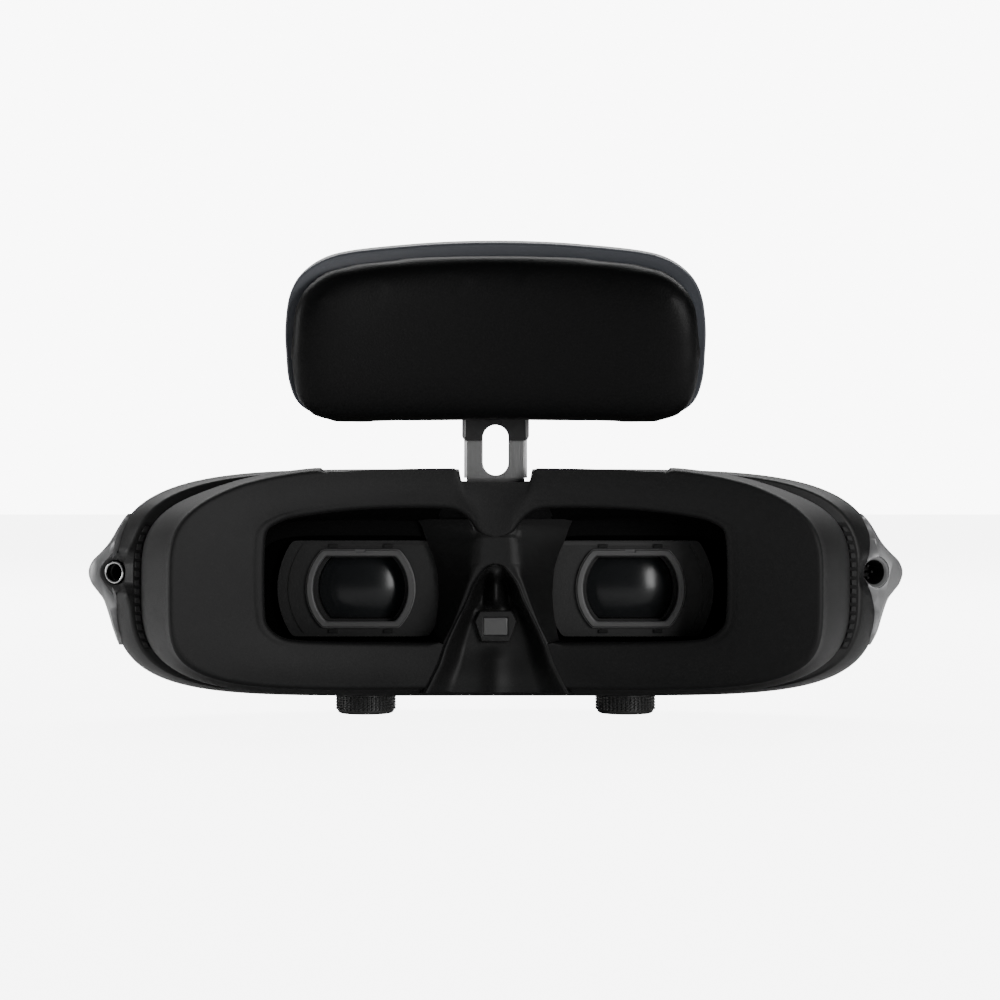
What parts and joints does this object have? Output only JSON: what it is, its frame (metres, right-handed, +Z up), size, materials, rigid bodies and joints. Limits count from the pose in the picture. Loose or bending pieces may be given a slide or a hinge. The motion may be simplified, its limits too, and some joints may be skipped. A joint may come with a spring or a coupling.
{
  "type": "head-worn video goggles",
  "caption": "Head-worn video goggles for flying a drone, with sliding focusable eyepieces, a pull-off soft face shield and an adjustable forehead pad on a slotted bracket.",
  "frame": {"origin": "on the table plane under the middle of the goggles' bounding box, which stand on their two focus knobs", "axes": "+X is the wearer's right, +Y the way the wearer looks, +Z up"},
  "size_m": [0.196, 0.0776, 0.112],
  "materials": {
    "housing_black": "fine-textured black plastic",
    "visor_gloss": "polished black",
    "trim_grey": "satin grey",
    "polished_steel": "bright turned steel",
    "bracket_steel": "satin nickel on steel",
    "shield_rubber": "matt soft rubber",
    "sensor_window": "smooth grey window",
    "ring_grey": "satin grey",
    "lens_glass": "coated glass",
    "display_glass": "dark display glass",
    "board_green": "circuit board",
    "heat_sink_aluminium": "extruded fins",
    "pad_shell_grey": "satin blue-grey",
    "pad_leather": "soft black leatherette over foam"
  },
  "bodies": {
    "housing": {"rear_housing": "housing_black", "front_cover": "housing_black", "visor_panel": "visor_gloss", "side_trim_left": "trim_grey", "side_trim_right": "trim_grey", "audio_jack_ring": "polished_steel", "audio_jack_body": "housing_black", "cable_socket_shell": "housing_black", "cable_socket_contacts": "polished_steel", "vent_strip_left": "housing_black", "vent_strip_right": "housing_black", "sensor_housing": "housing_black", "sensor_window": "sensor_window", "guide_rod_upper": "polished_steel", "guide_rod_lower": "polished_steel", "main_board": "board_green", "processor_can": "polished_steel", "housing_screw_1": "polished_steel", "housing_screw_2": "polished_steel", "housing_screw_3": "polished_steel", "housing_screw_4": "polished_steel", "bracket": "bracket_steel", "bracket_screw_left": "polished_steel", "bracket_screw_right": "polished_steel"},
    "shield": {"face_shield": "shield_rubber", "nose_bridge": "shield_rubber", "shield_frame": "housing_black"},
    "slider": {"pad_slider": "housing_black", "clamp_screw": "polished_steel", "hinge_pin": "polished_steel"},
    "pad": {"pad_shell": "pad_shell_grey", "forehead_cushion": "pad_leather"},
    "carriage_left": {"optics_carriage_left": "housing_black", "eyepiece_ring_left": "ring_grey", "display_holder_left": "housing_black", "display_panel_left": "display_glass", "display_board_left": "board_green", "heat_sink_left": "heat_sink_aluminium"},
    "knob_left": {"focus_knob_left": "housing_black", "focus_shaft_left": "polished_steel", "focus_pinion_left": "polished_steel"},
    "lens_left": {"lens_barrel_left": "housing_black", "eyepiece_lens_left": "lens_glass", "field_lens_left": "lens_glass"},
    "carriage_right": {"optics_carriage_right": "housing_black", "eyepiece_ring_right": "ring_grey", "display_holder_right": "housing_black", "display_panel_right": "display_glass", "display_board_right": "board_green", "heat_sink_right": "heat_sink_aluminium"},
    "knob_right": {"focus_knob_right": "housing_black", "focus_shaft_right": "polished_steel", "focus_pinion_right": "polished_steel"},
    "lens_right": {"lens_barrel_right": "housing_black", "eyepiece_lens_right": "lens_glass", "field_lens_right": "lens_glass"}
  },
  "joints": [
    {"name": "shield_pull", "type": "slide", "parent": "housing", "child": "shield", "axis": [0, -1, 0], "range_m": [0, 0.04]},
    {"name": "pad_height", "type": "slide", "parent": "housing", "child": "slider", "axis": [0, 0, 1], "range_m": [-0.008, 0.01]},
    {"name": "pad_tilt", "type": "hinge", "parent": "slider", "child": "pad", "pos_m": [0, -0.0174, 0.0886], "axis": [1, 0, 0], "range_deg": [-12, 10]},
    {"name": "ipd_left", "type": "slide", "parent": "housing", "child": "carriage_left", "axis": [-1, 0, 0], "range_m": [-0.004, 0.004]},
    {"name": "focus_left", "type": "hinge", "parent": "carriage_left", "child": "knob_left", "pos_m": [-0.032, 0.016, 0], "axis": [0, 0, 1], "range_deg": [-46, 46]},
    {"name": "lens_travel_left", "type": "slide", "parent": "carriage_left", "child": "lens_left", "axis": [0, 1, 0], "range_m": [-0.0024, 0.0024]},
    {"name": "ipd_right", "type": "slide", "parent": "housing", "child": "carriage_right", "axis": [1, 0, 0], "range_m": [-0.004, 0.004]},
    {"name": "focus_right", "type": "hinge", "parent": "carriage_right", "child": "knob_right", "pos_m": [0.032, 0.016, 0], "axis": [0, 0, 1], "range_deg": [-46, 46]},
    {"name": "lens_travel_right", "type": "slide", "parent": "carriage_right", "child": "lens_right", "axis": [0, 1, 0], "range_m": [-0.0024, 0.0024]}
  ],
  "couplings": [
    {"joint": "focus_left", "follows": "lens_travel_left", "rad_per_m": -333.33},
    {"joint": "focus_right", "follows": "lens_travel_right", "rad_per_m": 333.33}
  ]
}
